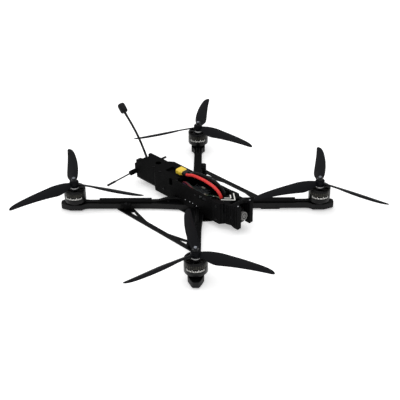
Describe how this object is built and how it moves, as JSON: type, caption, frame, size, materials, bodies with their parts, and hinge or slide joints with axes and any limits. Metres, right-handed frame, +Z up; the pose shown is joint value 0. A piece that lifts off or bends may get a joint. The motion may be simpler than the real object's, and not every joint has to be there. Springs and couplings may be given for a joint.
{
  "type": "quadcopter drone",
  "caption": "Long-range quadcopter with flat carbon arms, printed body, tilting nose camera, free-turning rotors, upright antenna and an arched battery lead.",
  "frame": {"origin": "centre of the bottom plate's underside", "axes": "+Z up, nose toward -Y, starboard toward -X"},
  "size_m": [0.5378, 0.5392, 0.138],
  "materials": {
    "carbon_plate": "satin woven carbon laminate",
    "printed_black": "matte, fine layer lines",
    "motor_wire": "soft sheen",
    "stator_winding": "enamelled copper",
    "anodised_black": "black anodised, satin",
    "propeller_nylon": "satin",
    "nut_steel": "satin",
    "camera_shell": "matte",
    "camera_glass": "gloss",
    "cap_grey": "matte",
    "board_black": "solder-masked board",
    "stack_nylon": "satin",
    "capacitor_sleeve": "heat-shrunk sleeve",
    "antenna_black": "satin",
    "plug_yellow": "satin",
    "boot_black": "matte",
    "wire_red": "silicone, soft sheen",
    "wire_black": "silicone, soft sheen"
  },
  "bodies": {
    "airframe": {"bottom_plate": "carbon_plate", "main_plate": "carbon_plate", "brace_starboard": "carbon_plate", "brace_port": "carbon_plate", "arm_front_starboard": "carbon_plate", "arm_front_port": "carbon_plate", "arm_rear_port": "carbon_plate", "arm_rear_starboard": "carbon_plate", "body_shell": "printed_black", "rear_housing": "printed_black", "nose_cover": "printed_black", "antenna_mount": "printed_black", "arm_cover_front_starboard": "printed_black", "arm_cover_front_port": "printed_black", "arm_cover_rear_port": "printed_black", "arm_cover_rear_starboard": "printed_black", "motor_leads_front_starboard": "motor_wire", "motor_leads_front_port": "motor_wire", "motor_leads_rear_port": "motor_wire", "motor_leads_rear_starboard": "motor_wire", "motor_stator_front_starboard": "stator_winding", "motor_stator_front_port": "stator_winding", "motor_stator_rear_port": "stator_winding", "motor_stator_rear_starboard": "stator_winding", "video_transmitter": "anodised_black", "esc_board": "board_black", "flight_controller": "board_black", "receiver": "board_black", "stack_mount": "stack_nylon", "capacitor": "capacitor_sleeve", "receiver_antenna_starboard": "antenna_black", "receiver_antenna_port": "antenna_black", "antenna_stem": "antenna_black", "antenna_head": "antenna_black", "battery_connector": "plug_yellow", "connector_boot": "boot_black", "battery_lead_red": "wire_red", "battery_lead_black": "wire_black"},
    "camera": {"camera_body": "camera_shell", "camera_lens": "camera_glass", "lens_cap": "cap_grey", "camera_screw_starboard": "nut_steel", "camera_screw_port": "nut_steel"},
    "rotor_front_starboard": {"motor_bell_front_starboard": "anodised_black", "propeller_front_starboard": "propeller_nylon", "prop_nut_front_starboard": "nut_steel"},
    "rotor_front_port": {"motor_bell_front_port": "anodised_black", "propeller_front_port": "propeller_nylon", "prop_nut_front_port": "nut_steel"},
    "rotor_rear_port": {"motor_bell_rear_port": "anodised_black", "propeller_rear_port": "propeller_nylon", "prop_nut_rear_port": "nut_steel"},
    "rotor_rear_starboard": {"motor_bell_rear_starboard": "anodised_black", "propeller_rear_starboard": "propeller_nylon", "prop_nut_rear_starboard": "nut_steel"}
  },
  "joints": [
    {"name": "spin_front_starboard", "type": "hinge", "parent": "airframe", "child": "rotor_front_starboard", "pos_m": [-0.15097, -0.15097, 0.045], "axis": [0, 0, 1], "continuous": true},
    {"name": "spin_front_port", "type": "hinge", "parent": "airframe", "child": "rotor_front_port", "pos_m": [0.15097, -0.15097, 0.045], "axis": [0, 0, 1], "continuous": true},
    {"name": "spin_rear_port", "type": "hinge", "parent": "airframe", "child": "rotor_rear_port", "pos_m": [0.15097, 0.15097, 0.045], "axis": [0, 0, 1], "continuous": true},
    {"name": "spin_rear_starboard", "type": "hinge", "parent": "airframe", "child": "rotor_rear_starboard", "pos_m": [-0.15097, 0.15097, 0.045], "axis": [0, 0, 1], "continuous": true},
    {"name": "camera_tilt", "type": "hinge", "parent": "airframe", "child": "camera", "pos_m": [0, -0.098, 0.0301], "axis": [-1, 0, 0], "range_deg": [-8, 40]}
  ]
}
